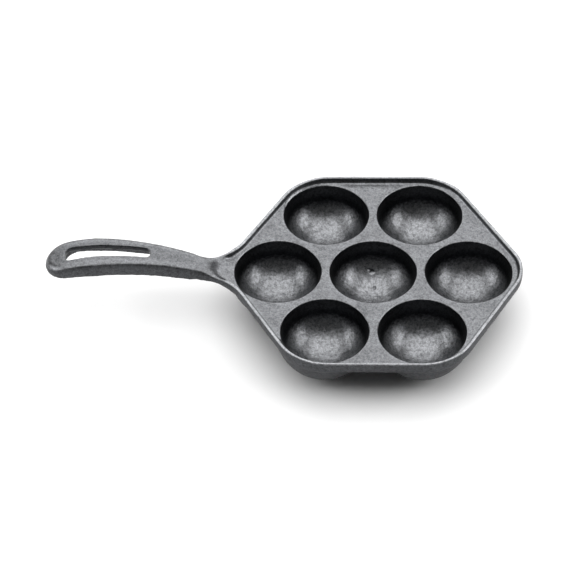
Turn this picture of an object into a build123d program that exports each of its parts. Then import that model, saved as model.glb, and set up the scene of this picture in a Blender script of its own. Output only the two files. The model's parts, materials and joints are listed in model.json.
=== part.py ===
from build123d import *
from math import asin, atan, atan2, cos, degrees, radians, sin, tan
import os

# Aebleskiver pan: one raw iron casting with seven round wells, a raised lip and a slotted handle.
# Millimetres. The origin is on the centre well's axis, on the plane that the pan stands on.
# +X points away from the handle, +Y across the pan and +Z up.

# Wells
well_mouth_radius = 29.8        # half the width of a well where it opens into the deck
well_gap = 6.4                  # deck left between the mouths of two neighbouring wells
well_depth = 29.3               # from the deck's top to the lowest point inside
well_wall = 4.2                 # iron round the hollow, square to its surface
foot_wall = 3.4                 # iron under the hollow, where the foot is ground flat
mouth_rounding = 1.2            # soft edge between a well and the deck

# Deck, lip and the outside of the rim
deck_thickness = 5.0
rim_margin = 5.84               # from the mouths along a side to the outside of the rim
rim_shift = 1.0                 # the rim's centre lies this far past the centre well's axis
rim_corner_radius = 38.0
nose_corner_radius = 31.0       # the rim's corner opposite the handle
lip_height = 4.2
lip_foot_width = 3.5            # where the lip grows out of the deck
lip_lean = 1.2                  # how far the lip's inner side leans outwards on its way up
lip_rounding = 0.5              # inside top edge, and the edge round the slot
crest_rounding = 0.9            # outside top edge, all round the rim and the handle
draft_height = 3.6              # outside, from the underside up to the parting line
draft = 0.6                     # how far the side leans in below the parting line

# Handle in plan, from the sharp corner that the rim would have on the handle's side
handle_length = 121.25          # to the tip
tip_radius = 14.9
shoulder_length = 22.5          # where the handle is as wide as its tip, up to the tip's round
shoulder_radius = 200.0         # soft curve between that stretch and the taper
taper_inset = 6.15              # the taper's narrow end lies this far inside the corner
taper_half_width = 7.6          # and is this wide there, inside the flares
flare_radius = 34.0             # hollow curves from the taper into the rim's two left sides

# Handle in side view: the crest climbs from the lip, passes over an arch and falls to the tip
arch_setback = 44.9             # from the tip back to the top of the arch
arch_rise = 19.8                # top of the arch above the deck's top
arch_fall = 10.19                # the tip's crest below the top of the arch
crest_foot_inset = 7.74         # the crest leaves the lip this far inside the rim's corner
root_radius = 55.0              # hollow curve where it leaves the lip
incline_length = 11.7           # straight stretch of the crest between that curve and the arch
handle_depth = 11.8             # height of the handle's side at the top of the arch
belly_fall = 5.38               # the tip's lower edge below the one under the arch
belly_foot_inset = 30.54        # the lower edge leaves the deck this far inside the rim's corner
belly_incline_length = 4.7      # its straight stretch
belly_root_share = 0.586        # share of its two curves' radii that the hollow one has

# Handle: the hollow underneath, the slot through it and the ramp at its root
web_thickness = 4.2             # top wall over the hollow
skirt_thickness = 3.9           # side walls round the hollow's wide end
hollow_end_wall = 13.9          # iron between the hollow and the tip
hollow_length = 72.0
hollow_inner_radius = 9.0       # round end of the hollow near the neck
slot_end_wall = 15.1            # iron between the slot and the tip
slot_length = 58.3
slot_outer_half_width = 5.9     # at the end near the tip
slot_inner_half_width = 4.1     # at the end near the neck
slot_rounding = 3.2
ramp_inset = 2.15               # the ramp starts this far inside the rim's corner
ramp_radius = 6.0               # hollow curve between the deck and the ramp
ramp_angle = 40.0               # how steeply the ramp climbs to the handle, in degrees

# Stretches of the casting, one after the other along the handle
root_inset = 6.15               # the root starts this far inside the rim's corner
root_length = 24.0
neck_length = 23.0

# Overrun of cutting shapes past what they cut
overrun = 10.0

# Angles that tell faces and edges apart, in degrees
steep_angle = 35.0              # a face that leans less than this looks up
sharp_angle = 18.0              # an edge that turns more than this is sharp

# Heights that follow from the sizes above
deck_top = well_depth + foot_wall
deck_underside = deck_top - deck_thickness
lip_top = deck_top + lip_height
crest_level = deck_top + lip_height / 2
arch_top = deck_top + arch_rise
belly_top = arch_top - handle_depth
height_limit = arch_top + overrun

# Radii and heights of the wells
well_pitch = 2 * well_mouth_radius + well_gap
neighbour_limit = well_pitch + well_mouth_radius
hollow_radius = (well_mouth_radius**2 + well_depth**2) / (2 * well_depth)
hollow_centre = foot_wall + hollow_radius
bulge_radius = hollow_radius + well_wall
bulge_top = deck_top - deck_thickness / 2

# The hexagon, and how far from the centre well's axis the places along the handle are
side_turn = radians(30)
rim_apothem = well_pitch * cos(side_turn) + well_mouth_radius + rim_margin
corner_reach = rim_apothem / cos(side_turn) - rim_shift
tip_reach = corner_reach + handle_length
tip_centre_reach = tip_reach - tip_radius
reach_limit = tip_reach + overrun
arch_reach = tip_reach - arch_setback
shoulder_reach = tip_centre_reach - shoulder_length
taper_reach = corner_reach - taper_inset
ramp_reach = corner_reach - ramp_inset
crest_foot_reach = corner_reach - crest_foot_inset
belly_foot_reach = corner_reach - belly_foot_inset
slot_outer_reach = tip_reach - slot_end_wall
slot_inner_reach = slot_outer_reach - slot_length
hollow_outer_reach = tip_reach - hollow_end_wall
hollow_outer_radius = tip_radius - skirt_thickness
hollow_inner_reach = hollow_outer_reach - hollow_length
root_start_reach = corner_reach - root_inset
neck_start_reach = root_start_reach + root_length
grip_start_reach = neck_start_reach + neck_length

# Names and places of the wells, the outer six counted anticlockwise from the handle's far side
well_places = {"well_centre": (0.0, 0.0)}
outer_wells = ["well_right", "well_back_right", "well_back_left"]
outer_wells += ["well_left", "well_front_left", "well_front_right"]
for turn, name in enumerate(outer_wells):
    bearing = radians(turn * 360 / len(outer_wells))
    well_places[name] = (well_pitch * cos(bearing), well_pitch * sin(bearing))


def sum_of_radii(top, base, foot_reach, straight):
    """Work out the radii, added up, of the two curves that lead from the arch down to a line's foot."""
    run = arch_reach - foot_reach
    return (run**2 + (top - base)**2 - straight**2) / (2 * (top - base))


def arched_line(top, base, foot_reach, straight, foot_radius, tip_fall, inset):
    """Draw one side-view line of the handle, or one that lies further in, and give its two ends."""
    peak = (-arch_reach, top - inset)
    radii = sum_of_radii(top, base, foot_reach, straight)
    slant = degrees(atan2(arch_reach - foot_reach, radii - (top - base)) - atan2(straight, radii))
    inner_arc = JernArc(peak, (1, 0), radii - foot_radius - inset, -slant)
    incline = Line(inner_arc @ 1, inner_arc @ 1 + inner_arc % 1 * straight)
    foot_arc = JernArc(incline @ 1, incline % 1, foot_radius + inset, slant)
    outer_radius = (arch_setback**2 + tip_fall**2) / (2 * tip_fall)
    tip_turn = degrees(asin((reach_limit - arch_reach) / outer_radius))
    tip_arc = JernArc(peak, (-1, 0), outer_radius - inset, tip_turn)
    return foot_arc @ 1, tip_arc @ 1


def faces_up(face):
    """Say whether a face looks up more than it leans."""
    return face.normal_at().Z > cos(radians(steep_angle))


def is_sharp(edge, faces):
    """Say whether the two faces that meet at an edge turn from one to the other without a rounding."""
    sides = [face.normal_at(edge.center()) for face in faces if any(edge.is_same(e) for e in face.edges())]
    return sides[0].get_angle(sides[1]) > sharp_angle


# Plan outline: the hexagon, the handle and the flares between them
with BuildSketch() as handle_plan:
    with BuildLine():
        Polyline(
            (-taper_reach, -taper_half_width),
            (-shoulder_reach, -tip_radius),
            (-tip_centre_reach, -tip_radius),
            (-tip_centre_reach, tip_radius),
            (-shoulder_reach, tip_radius),
            (-taper_reach, taper_half_width),
            close=True,
        )
    make_face()
    shoulders = handle_plan.vertices().filter_by_position(Axis.X, -shoulder_reach, -shoulder_reach)
    fillet(shoulders, radius=shoulder_radius)
    with Locations((-tip_centre_reach, 0)):
        Circle(tip_radius)

with BuildSketch() as outline:
    with Locations((rim_shift, 0)):
        RegularPolygon(rim_apothem, 6, major_radius=False)
    corners = outline.vertices().sort_by(Axis.X)
    fillet(corners[1:-1], radius=rim_corner_radius)
    fillet(outline.vertices().sort_by(Axis.X)[-1], radius=nose_corner_radius)
    add(handle_plan.sketch)
    crossings = outline.vertices().filter_by_position(Axis.X, -corner_reach, -taper_reach)
    fillet(crossings, radius=flare_radius)

# The lip stands on the outline, and inside it the deck lies open as far as the handle's root
with BuildSketch(Plane.XY.offset(deck_top)) as deck_plan:
    add(outline.sketch)
    offset(amount=-lip_foot_width)
    split(bisect_by=Plane.YZ.offset(-neck_start_reach))

# Side view of the casting without its bulges, from the lip's crest down to the deck's underside
with BuildSketch(Plane.XZ) as side_view:
    with BuildLine():
        crest_foot, crest_tip = arched_line(
            arch_top, lip_top, crest_foot_reach, incline_length, root_radius, arch_fall, 0
        )
        belly_radii = sum_of_radii(belly_top, deck_underside, belly_foot_reach, belly_incline_length)
        belly_foot, belly_tip = arched_line(
            belly_top,
            deck_underside,
            belly_foot_reach,
            belly_incline_length,
            belly_root_share * belly_radii,
            belly_fall,
            0,
        )
        Polyline(crest_foot, (reach_limit, lip_top), (reach_limit, deck_underside), belly_foot)
        Line(belly_tip, crest_tip)
    make_face()

# Side view of the space under the handle's top wall
with BuildSketch(Plane.XZ) as under_web:
    with BuildLine():
        roof_foot, roof_tip = arched_line(
            arch_top, lip_top, crest_foot_reach, incline_length, root_radius, arch_fall, web_thickness
        )
        Polyline(roof_foot, (roof_foot.X, 0), (roof_tip.X, 0), roof_tip)
    make_face()

# Side view of the space over the deck, with the ramp up to the handle
with BuildSketch(Plane.XZ) as over_deck:
    with BuildLine():
        ramp_foot = (-ramp_reach, deck_top)
        ramp_curve = JernArc(ramp_foot, (-1, 0), ramp_radius, -ramp_angle)
        ramp_run = (height_limit - (ramp_curve @ 1).Y) / tan(radians(ramp_angle))
        Polyline(
            ramp_curve @ 1,
            ((ramp_curve @ 1).X - ramp_run, height_limit),
            (reach_limit, height_limit),
            (reach_limit, deck_top),
            ramp_foot,
        )
    make_face()

# The outlines of the grip's hollow and of the slot in its top wall
with BuildSketch() as hollow_plan:
    with Locations((-(hollow_outer_reach - hollow_outer_radius), 0)):
        Circle(hollow_outer_radius)
    with Locations((-(hollow_inner_reach + hollow_inner_radius), 0)):
        Circle(hollow_inner_radius)
    make_hull()

with BuildSketch() as slot_plan:
    with BuildLine():
        Polyline(
            (-slot_outer_reach, -slot_outer_half_width),
            (-slot_inner_reach, -slot_inner_half_width),
            (-slot_inner_reach, slot_inner_half_width),
            (-slot_outer_reach, slot_outer_half_width),
            close=True,
        )
    make_face()
    fillet(slot_plan.vertices(), radius=slot_rounding)

with BuildPart() as deck_space:
    extrude(deck_plan.sketch, amount=arch_rise, taper=-degrees(atan(lip_lean / lip_height)))
    extrude(over_deck.sketch, amount=reach_limit, both=True, mode=Mode.INTERSECT)

with BuildPart() as handle_hollow:
    extrude(hollow_plan.sketch, amount=arch_top)
    extrude(under_web.sketch, amount=reach_limit, both=True, mode=Mode.INTERSECT)

# Outside of the wells: seven part balls that hang from the deck and share their walls
with BuildPart() as bulges:
    with BuildSketch(Plane.XZ) as bulge_half:
        with Locations((0, hollow_centre)):
            Circle(bulge_radius)
        with Locations((0, 0)):
            Rectangle(bulge_radius, bulge_top, align=(Align.MIN, Align.MIN), mode=Mode.INTERSECT)
    bulge = revolve(bulge_half.sketch, axis=Axis.Z, mode=Mode.PRIVATE)
    with Locations(*well_places.values()):
        add(bulge)

# The whole casting, which the named pieces below are stretches of
with BuildPart() as casting:
    extrude(outline.sketch, amount=height_limit)
    extrude(side_view.sketch, amount=reach_limit, both=True, mode=Mode.INTERSECT)

    # Outside edges, picked on the front and running all round: a rounding above and draft below
    front_side = casting.faces().filter_by(Axis.Y).sort_by(Axis.Y)[0]
    fillet(front_side.edges().sort_by(Axis.Z)[-1], radius=crest_rounding)
    front_side = casting.faces().filter_by(Axis.Y).sort_by(Axis.Y)[0]
    lower_edge = front_side.edges().sort_by(Axis.Z)[0]
    chamfer(lower_edge, length=draft_height, length2=draft, reference=front_side)

    add(bulges.part)
    add(deck_space.part, mode=Mode.SUBTRACT)
    add(handle_hollow.part, mode=Mode.SUBTRACT)
    extrude(slot_plan.sketch, amount=height_limit, mode=Mode.SUBTRACT)
    with Locations(*[(x, y, hollow_centre) for x, y in well_places.values()]):
        Sphere(hollow_radius, mode=Mode.SUBTRACT)

    # Soft edges: round the seven mouths, and round everything inside that the crest ends at
    mouths = casting.edges().filter_by(lambda e: e.is_closed)
    fillet(mouths.filter_by_position(Axis.Z, deck_top, deck_top), radius=mouth_rounding)
    crest_faces = casting.faces().filter_by(lambda f: f.center().Z > crest_level and faces_up(f))
    crest_edges = ShapeList(e for f in crest_faces for e in f.edges())
    fillet(crest_edges.filter_by(lambda e: is_sharp(e, casting.faces())), radius=lip_rounding)


def keep_pan():
    """Leave only what lies on the pan's side of the handle's root."""
    split(bisect_by=Plane.YZ.offset(-root_start_reach))


# The named pieces: stretches of the one casting, each its own solid, meeting face to face
with BuildPart() as rim_lip:
    add(casting.part)
    split(bisect_by=Plane.XY.offset(deck_top))
    keep_pan()

with BuildPart() as deck_plate:
    add(casting.part)
    split(bisect_by=Plane.XY.offset(deck_top), keep=Keep.BOTTOM)
    split(bisect_by=Plane.XY.offset(deck_underside))
    keep_pan()

with BuildPart() as handle_root:
    add(casting.part)
    split(bisect_by=Plane.YZ.offset(-root_start_reach), keep=Keep.BOTTOM)
    split(bisect_by=Plane.YZ.offset(-neck_start_reach))

with BuildPart() as handle_neck:
    add(casting.part)
    split(bisect_by=Plane.YZ.offset(-neck_start_reach), keep=Keep.BOTTOM)
    split(bisect_by=Plane.YZ.offset(-grip_start_reach))

with BuildPart() as handle_grip:
    add(casting.part)
    split(bisect_by=Plane.YZ.offset(-grip_start_reach), keep=Keep.BOTTOM)

pieces = {
    "rim_lip": rim_lip.part,
    "deck_plate": deck_plate.part,
    "handle_root": handle_root.part,
    "handle_neck": handle_neck.part,
    "handle_grip": handle_grip.part,
}

# Each well's shell hangs below the deck, and ends halfway to each of its neighbours
for name, place in well_places.items():
    with BuildPart() as well:
        add(casting.part)
        split(bisect_by=Plane.XY.offset(deck_underside), keep=Keep.BOTTOM)
        for other in well_places.values():
            apart = Vector(*other) - Vector(*place)
            if 0 < apart.length < neighbour_limit:
                halfway = Plane(origin=Vector(*place) + apart / 2, z_dir=apart)
                split(bisect_by=halfway, keep=Keep.BOTTOM)
    pieces[name] = well.part

os.makedirs("parts", exist_ok=True)
for name, piece in pieces.items():
    piece.label = name
    export_step(piece, f"parts/{name}.step")
    print(name, round(piece.volume), "mm3", len(piece.solids()), "solid")
whole = sum(piece.volume for piece in pieces.values())
print("all pieces", round(whole), "casting", round(casting.part.volume))
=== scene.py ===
# %% [markdown]
# # An aebleskiver pan in raw cast iron
# This lesson dresses a pan that is cast in one pour: a six-sided plate with a low lip, seven ball-shaped
# wells and a slotted handle. The exact solids arrive as twelve named stretches of that one casting. Iron
# out of a sand mould has no crisp corner and no perfectly flat face, so the solids are joined into one
# skin, weathered as the mould leaves it, and parted again along the same lines.

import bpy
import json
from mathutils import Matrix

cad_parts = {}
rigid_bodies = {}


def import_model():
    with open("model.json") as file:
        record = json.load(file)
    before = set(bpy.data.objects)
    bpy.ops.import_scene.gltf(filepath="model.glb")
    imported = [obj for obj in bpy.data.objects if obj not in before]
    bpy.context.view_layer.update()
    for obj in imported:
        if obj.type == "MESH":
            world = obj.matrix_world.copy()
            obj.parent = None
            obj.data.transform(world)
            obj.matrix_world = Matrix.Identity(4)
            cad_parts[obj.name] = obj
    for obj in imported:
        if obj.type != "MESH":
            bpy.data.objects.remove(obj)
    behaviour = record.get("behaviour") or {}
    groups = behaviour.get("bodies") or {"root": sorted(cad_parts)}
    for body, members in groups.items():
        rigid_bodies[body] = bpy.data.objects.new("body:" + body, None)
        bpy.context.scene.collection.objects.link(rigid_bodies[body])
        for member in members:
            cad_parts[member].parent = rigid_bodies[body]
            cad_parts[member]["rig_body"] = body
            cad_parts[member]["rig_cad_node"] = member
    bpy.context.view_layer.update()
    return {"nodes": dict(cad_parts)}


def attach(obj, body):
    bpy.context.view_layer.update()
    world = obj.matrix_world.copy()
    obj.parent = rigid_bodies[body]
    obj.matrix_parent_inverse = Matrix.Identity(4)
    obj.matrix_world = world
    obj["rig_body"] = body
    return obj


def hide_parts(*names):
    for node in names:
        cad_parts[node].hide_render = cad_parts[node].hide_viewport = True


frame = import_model()
print("solids", sorted(frame["nodes"]))

# %% Other tools
import json
from math import cos, pi, radians, sin

import bpy
import numpy as np
from mathutils import Matrix, Vector

MM = 0.001
scene = bpy.context.scene
scene.view_settings.view_transform = "Standard"
print("colours are shown as", scene.view_settings.view_transform)

# %% [markdown]
# ## The camera
# The pan is seen from in front and above, at about 45 degrees, through a long lens, so that its near and
# far sides look almost equally wide. A camera stands best by how it is aimed: turned about the upright
# axis, tipped down, rolled a little, and then drawn back along its own line of sight.

# %% Stand the camera
PHOTO_WIDTH = 572
FOCAL_PIXELS = 2605.04
SENSOR_WIDTH = 36.0
CAMERA_TURN = radians(2.066)
CAMERA_TIP = radians(45.03)
CAMERA_ROLL = radians(-1.302)
CAMERA_AIM = Vector((0, 0, 32.7)) * MM
CAMERA_OFFSET = Vector((-60.34, -10.30, 1802.67)) * MM

camera_data = bpy.data.cameras.new("photo_camera")
camera_data.sensor_width = SENSOR_WIDTH
camera_data.lens = SENSOR_WIDTH * FOCAL_PIXELS / PHOTO_WIDTH
camera = bpy.data.objects.new("photo_camera", camera_data)
scene.collection.objects.link(camera)
aim = (
    Matrix.Rotation(CAMERA_TURN, 4, "Z")
    @ Matrix.Rotation(pi / 2 - CAMERA_TIP, 4, "X")
    @ Matrix.Rotation(CAMERA_ROLL, 4, "Z")
)
camera.matrix_world = Matrix.Translation(CAMERA_AIM) @ aim @ Matrix.Translation(CAMERA_OFFSET)
scene.camera = camera
camera_place = [round(c, 3) for c in camera.matrix_world.translation]
print("lens", round(camera_data.lens, 1), "mm, camera at", camera_place)

# %% [markdown]
# ## One skin out of twelve solids
# The solids meet face to face, so a copy of them all can be joined and its doubled corners merged. A voxel
# remesh then wraps the whole in one even net of small squares, and drops the walls between the stretches.
# Squares of 0.7 mm are finer than anything the eye picks out on the pan, and they give the later steps a
# surface that bends the same way everywhere.

# %% Helpers that select one object and apply a modifier
def choose(thing):
    """Select one object alone and make it the active one."""
    bpy.ops.object.select_all(action="DESELECT")
    thing.select_set(True)
    bpy.context.view_layer.objects.active = thing


def apply_modifier(thing, kind, name, **settings):
    """Give an object a modifier, set it and apply it."""
    choose(thing)
    modifier = thing.modifiers.new(name, kind)
    for key, value in settings.items():
        setattr(modifier, key, value)
    bpy.ops.object.modifier_apply(modifier=name)


# %% Join copies of the solids
node_names = sorted(frame["nodes"])
copies = []
for name in node_names:
    copy = frame["nodes"][name].copy()
    copy.data = frame["nodes"][name].data.copy()
    copy.parent = None
    # It is only raw material for the skin, so it drops the marks that tie a solid to its body and node
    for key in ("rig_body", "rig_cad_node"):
        if key in copy:
            del copy[key]
    scene.collection.objects.link(copy)
    copies.append(copy)
bpy.ops.object.select_all(action="DESELECT")
for copy in copies:
    copy.select_set(True)
bpy.context.view_layer.objects.active = copies[0]
bpy.ops.object.join()
skin = bpy.context.view_layer.objects.active
skin.name = "casting_skin"
skin.data.materials.clear()
print("joined", len(copies), "solids")

# %% Merge the doubles and wrap the whole
DOUBLE_GAP = 0.005 * MM
VOXEL = 0.7 * MM

bpy.ops.object.mode_set(mode="EDIT")
bpy.ops.mesh.select_all(action="SELECT")
bpy.ops.mesh.remove_doubles(threshold=DOUBLE_GAP)
bpy.ops.object.mode_set(mode="OBJECT")
apply_modifier(skin, "REMESH", "wrap", mode="VOXEL", voxel_size=VOXEL)
print("skin", len(skin.data.vertices), "corners", len(skin.data.polygons), "faces")

# %% [markdown]
# ## Soft corners
# Sand can't hold a knife edge, so every corner of the casting is a little round, and the creases under the
# plate, where the wells' outsides run into each other, are filled with a generous curve. Averaging each
# corner of the net with its neighbours does both. Two rounds are enough all over; the outsides of the wells
# get many more, and are found by how far each spot lies from the middle of the nearest well's ball.

# %% Where the wells are
WELL_PITCH = 66.0 * MM
HOLLOW_CENTRE = 33.2 * MM
HOLLOW_RADIUS = 29.8 * MM
DECK_TOP = 32.7 * MM
DECK_UNDERSIDE = 27.7 * MM
well_centres = {"well_centre": Vector((0, 0, 0))}
well_ring = [
    "well_right",
    "well_back_right",
    "well_back_left",
    "well_left",
    "well_front_left",
    "well_front_right",
]
for turn, name in enumerate(well_ring):
    bearing = radians(60 * turn)
    well_centres[name] = Vector((WELL_PITCH * cos(bearing), WELL_PITCH * sin(bearing), 0))
print("wells", len(well_centres))

# %% Helpers that find and weigh a mesh's corners
WEIGHT_STEPS = 100


def corners_of(thing):
    """Give the places of a mesh's corners as an array."""
    places = np.empty(len(thing.data.vertices) * 3)
    thing.data.vertices.foreach_get("co", places)
    return places.reshape(-1, 3)


def weigh(thing, name, weights):
    """Make a vertex group with one weight for each corner, in steps, and give its name."""
    group = thing.vertex_groups.new(name=name)
    steps = np.rint(np.clip(weights, 0, 1) * WEIGHT_STEPS).astype(int)
    for step in np.unique(steps[steps > 0]):
        group.add(np.flatnonzero(steps == step).tolist(), step / WEIGHT_STEPS, "REPLACE")
    return name


def fade(values, start, end):
    """Run softly from 0 at the start value to 1 at the end value."""
    share = np.clip((values - start) / (end - start), 0, 1)
    return share * share * (3 - 2 * share)


def band(values, rise_from, rise_to, fall_from, fall_to):
    """Run softly up to 1 and down again."""
    return fade(values, rise_from, rise_to) * (1 - fade(values, fall_from, fall_to))


def from_ball(places):
    """Measure how far each place is from the middle of the nearest well's ball."""
    axes = np.array([[centre.x, centre.y] for centre in well_centres.values()])
    across = np.sqrt(((places[:, None, :2] - axes[None]) ** 2).sum(axis=2)).min(axis=1)
    return np.sqrt(across**2 + (places[:, 2] - HOLLOW_CENTRE) ** 2)


# %% Fill the creases under the wells
PAST_HOLLOW = 1.5 * MM
INTO_PLATE = 1.0 * MM
CREASE_ROUNDS = 24

places = corners_of(skin)
outside = (from_ball(places) > HOLLOW_RADIUS + PAST_HOLLOW) & (places[:, 2] < DECK_UNDERSIDE + INTO_PLATE)
underside = weigh(skin, "underside", outside.astype(float))
apply_modifier(
    skin, "SMOOTH", "fill_creases", factor=0.5, iterations=CREASE_ROUNDS, vertex_group=underside
)
print("underside corners", int(outside.sum()))

# %% [markdown]
# The handle is rounder than the rest, because a hand has to close on it: its upper edges turn over in a
# curve of about four millimetres. The mesh itself says how wide and how high the handle is at each place
# along it, so a spot's weight can follow from its distance to that edge. Averaging also draws an edge
# inwards, so the edges are swelled a little before they are rounded.

# %% Round the handle's upper edges
HANDLE_START = -106.0 * MM
HANDLE_MARGIN = 10 * MM
TIP_CENTRE = -212.5 * MM
EDGE_REACH = 7.5 * MM
# Each pair is where the weight starts to fade and where it is gone
EDGE_INWARDS = 0.5 * EDGE_REACH, EDGE_REACH
EDGE_DOWNWARDS = 0.8 * EDGE_REACH, 1.35 * EDGE_REACH
EDGE_TOWARDS_RIM = HANDLE_START - 4 * MM, HANDLE_START + 8 * MM
EDGE_SWELL = 0.3 * MM
EDGE_ROUNDS = 190
FAR = 1.0

places = corners_of(skin)
# A station is a whole number of millimetres along the handle
stations = np.rint(places[:, 0] / MM).astype(int)
half_width, crest = {}, {}
for place in range(stations.min(), int((HANDLE_START + HANDLE_MARGIN) / MM) + 2):
    here = places[np.abs(stations - place) <= 1]
    half_width[place] = np.abs(here[:, 1]).max()
    crest[place] = here[:, 2].max()

on_handle = places[:, 0] < HANDLE_START + HANDLE_MARGIN
along, sideways, height = places[on_handle].T
side_gap = np.array([half_width[place] for place in stations[on_handle]]) - np.abs(sideways)
tip_gap = half_width[int(TIP_CENTRE / MM)] - np.hypot(along - TIP_CENTRE, sideways)
edge_gap, depth = np.full(len(places), FAR), np.full(len(places), FAR)
edge_gap[on_handle] = np.where(along < TIP_CENTRE, tip_gap, side_gap)
depth[on_handle] = np.array([crest[place] for place in stations[on_handle]]) - height

near_edge = 1 - fade(edge_gap, *EDGE_INWARDS)
near_edge *= 1 - fade(depth, *EDGE_DOWNWARDS)
near_edge *= 1 - fade(places[:, 0], *EDGE_TOWARDS_RIM)
print("handle corners", int(on_handle.sum()), "of them near its edge", int((near_edge > 0.5).sum()))

# %% Swell the edges and average them
edge = weigh(skin, "handle_edge", near_edge)
apply_modifier(skin, "DISPLACE", "swell_handle", mid_level=0.0, strength=EDGE_SWELL, vertex_group=edge)
apply_modifier(skin, "SMOOTH", "round_handle", factor=0.5, iterations=EDGE_ROUNDS, vertex_group=edge)
print("averaged the handle's edges", EDGE_ROUNDS, "times")

# %% [markdown]
# The lip grows out of the plate in a hollow curve that catches the light from above as a pale line, and
# the ramp at the handle's root has no corner at either end. The lip's foot is a band along the six sides
# of the rim, and the ramp is a band across the handle's root.

# %% Soften the lip's foot and the ramp
LIP_REACH = 3.6 * MM
LIP_FOOT = [share * LIP_REACH for share in (0.45, 0.8, 1.8, 2.6)]
LIP_ROUNDS = 10
RIM_MIDDLE = 1.0 * MM
RIM_APOTHEM = 92.8 * MM
RAMP_START, RAMP_END = -120.0 * MM, -102.5 * MM
RAMP_HALF_WIDTH = 9 * MM
RAMP_ROUNDS = 140
FADE_TO_TIP, FADE_TO_RIM, FADE_SIDEWAYS = 4 * MM, 3 * MM, 4 * MM
FACE_OF_DECK = DECK_TOP - 1.0 * MM, DECK_TOP - 0.3 * MM
ROUNDS_ALL_OVER = 2

sides = [radians(60 * turn + 30) for turn in range(6)]
reaches = np.array([(places[:, 0] - RIM_MIDDLE) * cos(a) + places[:, 1] * sin(a) for a in sides])
rim_gap = RIM_APOTHEM - reaches.max(axis=0)
over_deck = fade(places[:, 2], *FACE_OF_DECK)
lip_foot = over_deck * band(rim_gap, *LIP_FOOT)
on_ramp = band(places[:, 0], RAMP_START - FADE_TO_TIP, RAMP_START, RAMP_END, RAMP_END + FADE_TO_RIM)
on_ramp = on_ramp * (1 - fade(np.abs(places[:, 1]), RAMP_HALF_WIDTH, RAMP_HALF_WIDTH + FADE_SIDEWAYS))
soft_places = (("lip_foot", LIP_ROUNDS, lip_foot), ("ramp", RAMP_ROUNDS, over_deck * on_ramp))
for name, rounds, weights in soft_places:
    group = weigh(skin, name, weights)
    apply_modifier(skin, "SMOOTH", "soften_" + name, factor=0.5, iterations=rounds, vertex_group=group)
    print(name, "softened at", int((weights > 0.5).sum()), "corners")
apply_modifier(skin, "SMOOTH", "soften", factor=0.5, iterations=ROUNDS_ALL_OVER)

# %% [markdown]
# ## The mould's marks
# A sand mould leaves three kinds of unevenness: long shallow waves, a grain like coarse paper, and here
# and there a pit where the sand crumbled. Displacing the skin along its normals with soft cloud textures
# gives the first two as real relief. Both only take iron away, so they never make the pan any bigger.

# %% Wear the skin down by a cloud texture
def roughen(thing, name, grain_size, depth, detail):
    """Displace a mesh inwards by up to a depth, with a soft cloud pattern of a given grain."""
    clouds = bpy.data.textures.new(name, "CLOUDS")
    clouds.noise_scale = grain_size
    clouds.noise_depth = detail
    apply_modifier(
        thing, "DISPLACE", name, texture=clouds, texture_coords="LOCAL", mid_level=1.0, strength=depth
    )


roughen(skin, "waves", grain_size=12 * MM, depth=0.22 * MM, detail=1)
roughen(skin, "grain", grain_size=1.8 * MM, depth=0.10 * MM, detail=1)
heights = corners_of(skin)[:, 2] / MM
print("skin from", round(heights.min(), 2), "to", round(heights.max(), 2), "mm high")

# %% [markdown]
# Where a few grains of the mould broke loose, the iron has a pit. The middle well has a deep one on its far
# wall with a small one beside it, and a third nearer its bottom. Each is a dent that fades out from its
# middle, pressed into the skin along its normals.

# %% Pit the middle well
# Each pit has its middle, its reach and its depth, in millimetres
PITS = [((-0.6, 20.8, 11.6), 2.0, 0.9), ((1.0, 10.8, 5.4), 1.7, 0.7), ((-2.6, 21.6, 12.9), 1.2, 0.4)]
PIT_FLOOR = 0.2

places = corners_of(skin)
for turn, (middle, reach, deep) in enumerate(PITS):
    from_pit = np.sqrt(((places - np.array(middle) * MM) ** 2).sum(axis=1))
    pit = weigh(skin, f"pit_{turn}", 1 - fade(from_pit, PIT_FLOOR * reach * MM, reach * MM))
    apply_modifier(skin, "DISPLACE", pit, mid_level=0.0, strength=-deep * MM, vertex_group=pit)
    print(pit, deep, "mm deep")

# %% [markdown]
# ## Kinds of iron
# Scrubbing and use reach what faces up: the plate and the top of the handle are worn to a paler sheen, and
# their paleness is partly painted top light, growing the more a spot faces up. The crest of the lip and the
# upper part of the handle's edge are partly rubbed and partly a painted highlight, and the sloping lower
# walls and bottoms of the wells carry a painted highlight, weaker at the very bottom. The outer walls keep
# the dry sandy skin of the mould, and the wells' steep walls and the slot's walls are darkened with painted
# shade, less near the wells' rims. Which is which is kept on the mesh as attributes, one number at each
# corner, worked out here while the skin is still whole and its normals run on without a break.

# %% Keep a number at each corner
def keep(thing, name, values):
    """Store one number for each corner of a mesh under a name that a material can read."""
    attribute = thing.data.attributes.new(name, "FLOAT", "POINT")
    attribute.data.foreach_set("value", values)
    print(name, "on average", round(float(values.mean()), 3))


# %% Where each corner is and how far it faces up
LIP_TOP = 36.9 * MM
CREST_OF_LIP = LIP_TOP - 1.2 * MM, LIP_TOP - 0.4 * MM
WALL_OF_WELL = HOLLOW_RADIUS + 0.4 * MM, HOLLOW_RADIUS + 1.2 * MM
UPPER_WALL = DECK_TOP - 11 * MM, DECK_TOP - 4 * MM
END_OF_HANDLE = HANDLE_START - 18 * MM, HANDLE_START
SLOT_REACH = 8.0 * MM
EDGE_WEIGHT = 0.1, 0.9
# A corner faces up by 0 on an upright wall and by 1 on a level face
CREST_FACING = 0.2
SLOT_FACING = 0.1, 0.4
EDGE_FACING = 0.2, 0.9

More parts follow.
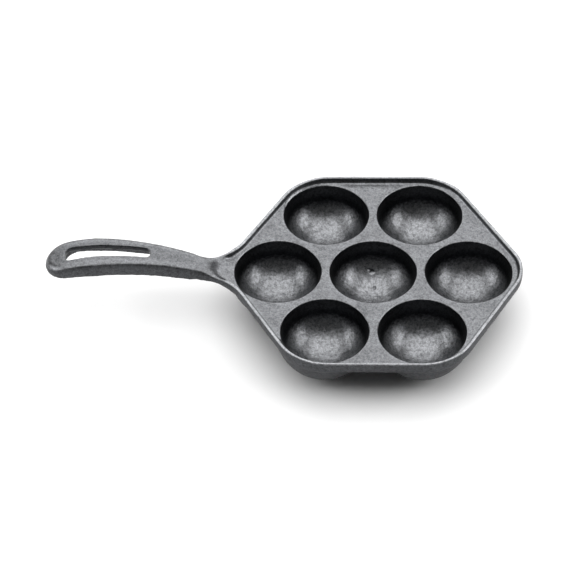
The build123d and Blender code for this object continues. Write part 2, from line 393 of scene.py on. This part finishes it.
places = corners_of(skin)
normals = np.empty(len(places) * 3)
skin.data.vertices.foreach_get("normal", normals)
facing_up = normals.reshape(-1, 3)[:, 2]
in_well = (1 - fade(from_ball(places), *WALL_OF_WELL)) * (places[:, 2] < DECK_TOP)
upper_wall = fade(places[:, 2], *UPPER_WALL)
on_crest = fade(places[:, 2], *CREST_OF_LIP) * (facing_up > CREST_FACING) * (places[:, 0] > HANDLE_START)
in_slot = on_handle * (np.abs(places[:, 1]) < SLOT_REACH) * (1 - fade(facing_up, *SLOT_FACING))
out_on_handle = 1 - fade(places[:, 0], *END_OF_HANDLE)
on_edge = fade(near_edge, *EDGE_WEIGHT) * fade(facing_up, *EDGE_FACING)
print("corners in the wells", int((in_well > 0.5).sum()))
print("corners on the lip's crest", int((on_crest > 0.5).sum()))

# %% Wear with painted top light, painted shade, rubbed edges with painted highlight, painted well highlight
# Each pair is how far a corner faces up where a kind begins and where it is full
WEAR_AND_TOP_LIGHT_FACING = 0.36, 0.60
PAINTED_HIGHLIGHT_FACING = 0.40, 0.66
BOTTOM_FACING = 0.94, 1.0
# The paler tone of wear and painted top light is weaker out on the handle
LESS_ON_HANDLE = 0.25
# The painted shade is weaker on the wells' upper walls, near their rims
LESS_ON_UPPER_WALL = 0.45
# The wells' painted highlight is weaker at their very bottoms
LESS_AT_BOTTOM = 0.5
# How strongly shade is painted on the slot's walls
SHADE_PAINTED_IN_SLOT = 0.6
# How much of the rubbed edge and its painted highlight reaches the handle's upper edge
RUBBED_AND_HIGHLIT_EDGE = 0.2
# How bright the wells' painted highlight is
PAINTED_HIGHLIGHT_SHARE = 0.45

# A painted highlight on the wells' sloping lower walls and bottoms
well_highlight_paint = in_well * fade(facing_up, *PAINTED_HIGHLIGHT_FACING)
well_highlight_paint = well_highlight_paint * (1 - LESS_AT_BOTTOM * fade(facing_up, *BOTTOM_FACING))
# A paler colour on what faces up: partly wear, partly painted top light
keep(skin, "wear_and_top_light", fade(facing_up, *WEAR_AND_TOP_LIGHT_FACING) * (1 - LESS_ON_HANDLE * out_on_handle))
# Painted shade on the wells' walls, weaker near their rims, and on the slot's walls
keep(skin, "painted_shade", np.maximum(in_well * (1 - LESS_ON_UPPER_WALL * upper_wall), SHADE_PAINTED_IN_SLOT * in_slot))
# The lip's crest and the handle's upper edge: partly rubbed, partly a painted highlight
keep(skin, "rubbed_and_highlit", np.maximum(on_crest, RUBBED_AND_HIGHLIT_EDGE * on_edge))
keep(skin, "painted_well_highlight", PAINTED_HIGHLIGHT_SHARE * well_highlight_paint)

# %% [markdown]
# ## Part it again
# Each stretch of the casting is its own piece, cut out of the skin with bisect planes and closed with a
# flat face where it was cut. The cuts lie where the solids meet, but a hair above the plate and below its
# underside, so that they cross clean walls and not a surface that lies in the plane itself.

# %% Planes between the stretches
ABOVE_DECK = DECK_TOP + 0.3 * MM
BELOW_DECK = DECK_UNDERSIDE - 0.3 * MM
ROOT_START, NECK_START, GRIP_START = -100.0 * MM, -124.0 * MM, -147.0 * MM
NEIGHBOUR_WITHIN = 1.5 * WELL_PITCH
UP, ALONG = Vector((0, 0, 1)), Vector((1, 0, 0))

# A cut is a point, a normal, and which side of it goes: True is the side that the normal points to
cuts = {
    "rim_lip": [(UP * ABOVE_DECK, UP, False), (ALONG * ROOT_START, ALONG, False)],
    "deck_plate": [
        (UP * ABOVE_DECK, UP, True),
        (UP * BELOW_DECK, UP, False),
        (ALONG * ROOT_START, ALONG, False),
    ],
    "handle_root": [(ALONG * ROOT_START, ALONG, True), (ALONG * NECK_START, ALONG, False)],
    "handle_neck": [(ALONG * NECK_START, ALONG, True), (ALONG * GRIP_START, ALONG, False)],
    "handle_grip": [(ALONG * GRIP_START, ALONG, True)],
}
for name, centre in well_centres.items():
    cuts[name] = [(UP * BELOW_DECK, UP, True)]
    for other in well_centres.values():
        apart = other - centre
        if 0 < apart.length < NEIGHBOUR_WITHIN:
            cuts[name].append((centre + apart / 2, apart.normalized(), True))
print("cuts", {name: len(planes) for name, planes in cuts.items()})

# %% Cut the pieces out
SAME_PLANE = 0.0001 * MM
SHARPEST = radians(50)


def cut_piece(source, name, planes):
    """Cut one stretch out of a copy of the skin, and close each cut."""
    piece = source.copy()
    piece.data = source.data.copy()
    piece.name = name
    piece.data.name = name
    scene.collection.objects.link(piece)
    choose(piece)
    bpy.ops.object.mode_set(mode="EDIT")
    for place, normal, beyond in planes:
        bpy.ops.mesh.select_all(action="SELECT")
        bpy.ops.mesh.bisect(
            plane_co=place,
            plane_no=normal,
            use_fill=True,
            clear_outer=beyond,
            clear_inner=not beyond,
            threshold=SAME_PLANE,
        )
    bpy.ops.object.mode_set(mode="OBJECT")
    return piece


pieces = {}
for name in node_names:
    piece = cut_piece(skin, name + "_iron", cuts[name])
    choose(piece)
    bpy.ops.object.shade_smooth_by_angle(angle=SHARPEST)
    pieces[name] = piece
    print(piece.name, len(piece.data.polygons), "faces")
bpy.data.objects.remove(skin)

# %% [markdown]
# ## Raw iron
# Unpolished iron is dark and slightly cool, with a dull sheen that comes from its own skin of oxide. It
# reflects like a metal, but weakly and softly. One material serves the whole casting: its patterns are
# read from Object coordinates, which all the pieces share, so nothing shows where they meet. A few small
# helpers, each of which adds one node, keep its recipe short.

# %% Make the material
iron = bpy.data.materials.new("sand_cast_iron")
iron.use_nodes = True
nodes, links = iron.node_tree.nodes, iron.node_tree.links
shader = nodes["Principled BSDF"]
where = nodes.new("ShaderNodeTexCoord")


def noise(scale, detail, roughness=0.5):
    """Add a noise texture over the object, with its size given in spots per metre."""
    texture = nodes.new("ShaderNodeTexNoise")
    texture.inputs["Scale"].default_value = scale
    texture.inputs["Detail"].default_value = detail
    texture.inputs["Roughness"].default_value = roughness
    links.new(where.outputs["Object"], texture.inputs["Vector"])
    return texture.outputs["Fac"]


def blend(kind, amount, first, second):
    """Mix two colours, the second laid over the first in the given way."""
    node = nodes.new("ShaderNodeMix")
    node.data_type = "RGBA"
    node.blend_type = kind
    for socket, value in (("Factor_Float", amount), ("A_Color", first), ("B_Color", second)):
        target = next(s for s in node.inputs if s.identifier == socket)
        if isinstance(value, (tuple, float)):
            target.default_value = value
        else:
            links.new(value, target)
    return next(s for s in node.outputs if s.identifier == "Result_Color")


def mark(name):
    """Read one of the numbers kept on the mesh."""
    node = nodes.new("ShaderNodeAttribute")
    node.attribute_name = name
    return node.outputs["Fac"]


def between(amount, low_value, high_value):
    """Run from one number to another as the amount runs from 0 to 1; either may itself be a pattern."""
    node = nodes.new("ShaderNodeMapRange")
    links.new(amount, node.inputs["Value"])
    for socket, value in (("To Min", low_value), ("To Max", high_value)):
        if isinstance(value, float):
            node.inputs[socket].default_value = value
        else:
            links.new(value, node.inputs[socket])
    return node.outputs["Result"]


def shading(value, dark_at, clear_at, darkest):
    """Turn a pattern into a grey that darkens a colour where the pattern is low."""
    node = nodes.new("ShaderNodeValToRGB")
    node.color_ramp.elements[0].color = (darkest, darkest, darkest, 1)
    node.color_ramp.elements[0].position = dark_at
    node.color_ramp.elements[1].position = clear_at
    links.new(value, node.inputs["Fac"])
    return node.outputs["Color"]


# %% [markdown]
# The colour starts from bare sandy iron and is laid over by kind: painted shade, wear with painted top
# light, rubbed edges with painted highlight, and the wells' painted highlight. Then it is darkened by three
# patterns,
# each of its own size: the grains of the sand, pores, and broad blotches.

# %% Colour it by kind
SANDY = (0.112, 0.115, 0.122, 1)
# Painted shade for the wells' steep walls and the slot
PAINTED_SHADE = (0.022, 0.023, 0.026, 1)
# Worn iron, whose paleness on what faces up is partly painted top light
WORN_AND_TOP_LIT = (0.255, 0.261, 0.273, 1)
# Rubbed edges with painted highlight; also the colour of the wells' painted highlight
RUBBED_AND_HIGHLIT = (0.520, 0.530, 0.550, 1)
shader.inputs["Metallic"].default_value = 1.0
wear_and_top_light, painted_shade, rubbed_and_highlit, painted_well_highlight = [mark(name) for name in ("wear_and_top_light", "painted_shade", "rubbed_and_highlit", "painted_well_highlight")]

iron_colour = SANDY
for amount, colour in ((painted_shade, PAINTED_SHADE), (wear_and_top_light, WORN_AND_TOP_LIT), (rubbed_and_highlit, RUBBED_AND_HIGHLIT), (painted_well_highlight, RUBBED_AND_HIGHLIT)):
    iron_colour = blend("MIX", amount, iron_colour, colour)
print("nodes so far", len(nodes))

# %% Darken it by pattern
blotches = noise(scale=70, detail=3)
sand = noise(scale=900, detail=2, roughness=0.6)
pores = noise(scale=420, detail=4, roughness=0.7)
bare_pores = shading(pores, dark_at=0.34, clear_at=0.52, darkest=0.60)
# The pores darken more where the shade is painted
pores_in_painted_shade = shading(pores, dark_at=0.34, clear_at=0.56, darkest=0.48)
grey_patterns = (
    shading(sand, dark_at=0.3, clear_at=0.7, darkest=0.55),
    blend("MIX", painted_shade, bare_pores, pores_in_painted_shade),
    shading(blotches, dark_at=0.3, clear_at=0.6, darkest=0.82),
)
for pattern in grey_patterns:
    iron_colour = blend("MULTIPLY", 1.0, iron_colour, pattern)
links.new(iron_colour, shader.inputs["Base Color"])
print("and with the patterns", len(nodes))

# %% [markdown]
# Worn iron reflects more sharply than sandy iron, and the blotches carry into the sheen, so that a
# reflection breaks up as it does on real iron. The grains and pores also tilt the normals a little.

# %% Sheen and grain
SANDY_ROUGHNESS, WORN_ROUGHNESS, PAINTED_SHADE_ROUGHNESS, BURNISHED_ROUGHNESS = 0.52, 0.29, 0.31, 0.40
SHARPER, DULLER = 0.92, 1.12
SAND_HEIGHT, PORE_HEIGHT = 0.10 * MM, 0.16 * MM
RELIEF_STRENGTH = 0.8

roughness = between(wear_and_top_light, SANDY_ROUGHNESS, WORN_ROUGHNESS)
roughness = between(painted_shade, roughness, PAINTED_SHADE_ROUGHNESS)
roughness = between(rubbed_and_highlit, roughness, BURNISHED_ROUGHNESS)
roughness = between(blotches, between(roughness, 0.0, SHARPER), between(roughness, 0.0, DULLER))
links.new(roughness, shader.inputs["Roughness"])


def relief(height, distance, under=None):
    """Add a pattern's height to the normal, on top of another relief."""
    node = nodes.new("ShaderNodeBump")
    node.inputs["Distance"].default_value = distance
    node.inputs["Strength"].default_value = RELIEF_STRENGTH
    links.new(height, node.inputs["Height"])
    if under is not None:
        links.new(under, node.inputs["Normal"])
    return node.outputs["Normal"]


links.new(relief(sand, SAND_HEIGHT, relief(pores, PORE_HEIGHT)), shader.inputs["Normal"])
print("nodes in the iron", len(nodes))

# %% Dress the pieces
for name, piece in pieces.items():
    piece.data.materials.append(iron)
    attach(piece, "root")
    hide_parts(name)
print("dressed", len(pieces), "pieces")

# %% [markdown]
# ## Floor and light
# Iron shows what surrounds it more than its own colour, so the lights are a tent of four big soft panels:
# a roof, two sides and a back. The front stays open and dark, and that is what blackens the far walls of
# the wells. The plate reflects the back, the wells' bottoms the roof.
#
# The floor is white paper. Beyond the pan it has a faint glow that only the camera and reflections see. It
# keeps the page white and the outer shadow soft, and the shadow close to the pan stays dark. Seen from
# below the floor is clear, so that the underside can be looked at too.

# %% Lay the floor
FLOOR_SIZE = 6.0
PAPER_WHITE = 0.90

bpy.ops.object.select_all(action="DESELECT")
bpy.ops.mesh.primitive_plane_add(size=FLOOR_SIZE, location=(0, 0, 0))
floor = bpy.context.view_layer.objects.active
floor.name = "floor"
paper = bpy.data.materials.new("floor_paper")
paper.use_nodes = True
paper_shader = paper.node_tree.nodes["Principled BSDF"]
paper_shader.inputs["Base Color"].default_value = (PAPER_WHITE, PAPER_WHITE, PAPER_WHITE, 1)
paper_shader.inputs["Roughness"].default_value = 0.9
paper_shader.inputs["Specular IOR Level"].default_value = 0.0
floor.data.materials.append(paper)
print(floor.name, FLOOR_SIZE, "m wide")

# %% Let it glow for the camera and for reflections
PAPER_GLOW = 0.16
GLOW_FROM, GLOW_FULL = 82 * MM, 116 * MM
sheet, join = paper.node_tree.nodes, paper.node_tree.links.new


def calculate(operation, first, second):
    """Combine two numbers of the floor's material."""
    node = sheet.new("ShaderNodeMath")
    node.operation = operation
    join(first, node.inputs[0])
    join(second, node.inputs[1])
    return node.outputs["Value"]


rays = sheet.new("ShaderNodeLightPath").outputs
seen = calculate("MAXIMUM", rays["Is Camera Ray"], rays["Is Glossy Ray"])
seen = calculate("MAXIMUM", seen, rays["Is Transmission Ray"])
from_middle = sheet.new("ShaderNodeVectorMath")
from_middle.operation = "LENGTH"
join(sheet.new("ShaderNodeTexCoord").outputs["Object"], from_middle.inputs[0])
beyond_pan = sheet.new("ShaderNodeMapRange")
beyond_pan.inputs["From Min"].default_value = GLOW_FROM
beyond_pan.inputs["From Max"].default_value = GLOW_FULL
beyond_pan.inputs["To Max"].default_value = PAPER_GLOW
join(from_middle.outputs["Value"], beyond_pan.inputs["Value"])
glow = calculate("MULTIPLY", seen, beyond_pan.outputs["Result"])
join(glow, paper_shader.inputs["Emission Strength"])
paper_shader.inputs["Emission Color"].default_value = (1, 1, 1, 1)
print("the paper glows by", PAPER_GLOW, "from", round(GLOW_FULL / MM), "mm out")

# %% Make it clear from below
one_sided = sheet.new("ShaderNodeMixShader")
join(sheet.new("ShaderNodeNewGeometry").outputs["Backfacing"], one_sided.inputs["Fac"])
join(paper_shader.outputs["BSDF"], one_sided.inputs[1])
join(sheet.new("ShaderNodeBsdfTransparent").outputs["BSDF"], one_sided.inputs[2])
join(one_sided.outputs["Shader"], sheet["Material Output"].inputs["Surface"])
print("nodes in the paper", len(sheet))

# %% Light it
def hang_panel(name, place, size, brightness, towards):
    """Hang a soft light that faces a point, with the brightness that its face has."""
    data = bpy.data.lights.new(name, "AREA")
    data.shape = "RECTANGLE"
    data.size, data.size_y = size
    data.energy = brightness * pi * size[0] * size[1]
    lamp = bpy.data.objects.new(name, data)
    lamp.location = place
    lamp.rotation_euler = (Vector(place) - Vector(towards)).to_track_quat("Z", "Y").to_euler()
    lamp.visible_camera = False
    scene.collection.objects.link(lamp)
    print(name, round(data.energy, 1), "W")


hang_panel("roof_panel", (0, 0.25, 1.5), (2.6, 2.2), brightness=1.75, towards=(0, 0.25, 0))
hang_panel("right_panel", (1.75, 0.05, 0.9), (1.5, 0.9), brightness=4.4, towards=(0, 0.05, 0.9))
hang_panel("left_panel", (-1.75, 0.05, 0.9), (1.5, 0.9), brightness=3.6, towards=(0, 0.05, 0.9))
hang_panel("back_panel", (0, 1.9, 1.25), (3.4, 1.3), brightness=2.3, towards=(0, 0, 1.25))

# %% Dim the rest of the studio
STUDIO_GREY = 0.06
world = bpy.data.worlds.new("studio")
scene.world = world
world.use_nodes = True
background = world.node_tree.nodes["Background"]
background.inputs["Color"].default_value = (STUDIO_GREY, STUDIO_GREY, STUDIO_GREY, 1)
background.inputs["Strength"].default_value = 1.0
print("the rest of the studio is", STUDIO_GREY)
